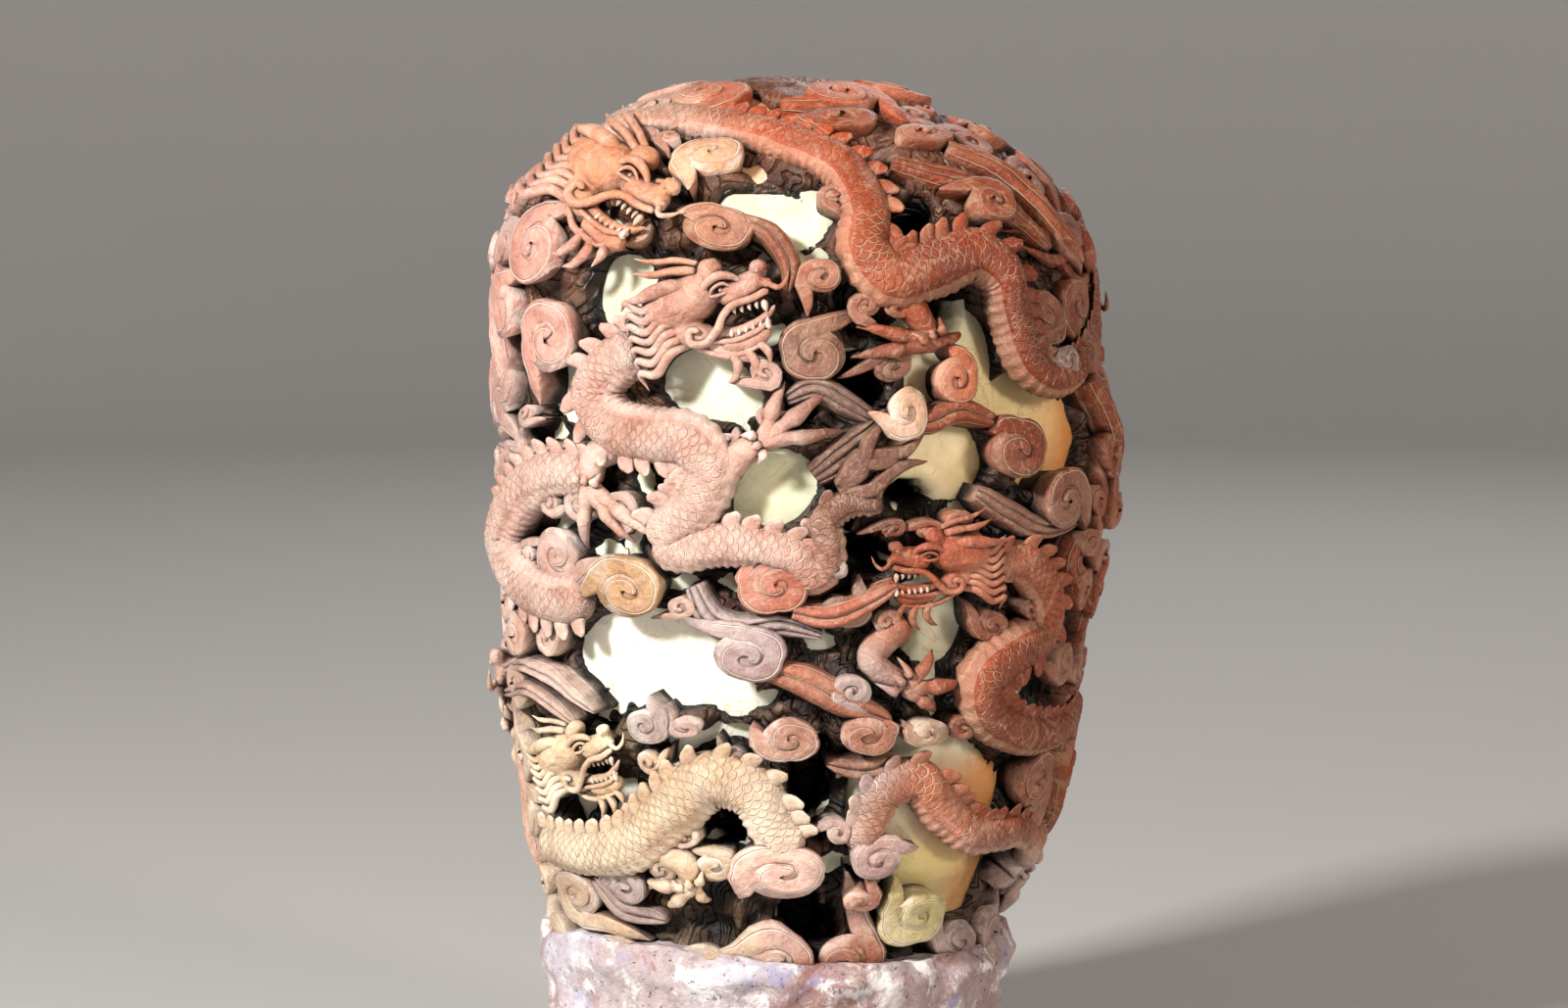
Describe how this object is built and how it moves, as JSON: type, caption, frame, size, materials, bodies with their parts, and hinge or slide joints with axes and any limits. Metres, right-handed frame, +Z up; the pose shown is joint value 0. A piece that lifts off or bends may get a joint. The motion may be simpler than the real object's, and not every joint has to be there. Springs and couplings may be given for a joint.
{
  "type": "soapstone dragon carving",
  "caption": "Upright boulder of soapstone carved in openwork with coiling dragons among scrolled clouds, over a smooth pale heart, on a rough uncut foot.",
  "frame": {"origin": "centre of the flat underside, on the surface that the carving stands on", "axes": "+Z up along the carving's height, the carved front faces -Y, +X to the viewer's right"},
  "size_m": [0.2271, 0.1897, 0.3733],
  "materials": {
    "soapstone_skin": "red-brown soapstone skin, carved, softly polished, with pale engraved lines and grey dust in the recesses",
    "soapstone_heart": "pale green-cream translucent heart of the same stone, polished",
    "soapstone_foot": "rough uncut foot of the same stone, grey-lilac with rust and violet stains"
  },
  "bodies": {
    "root": {"soapstone_carving": "soapstone_skin"}
  },
  "joints": []
}
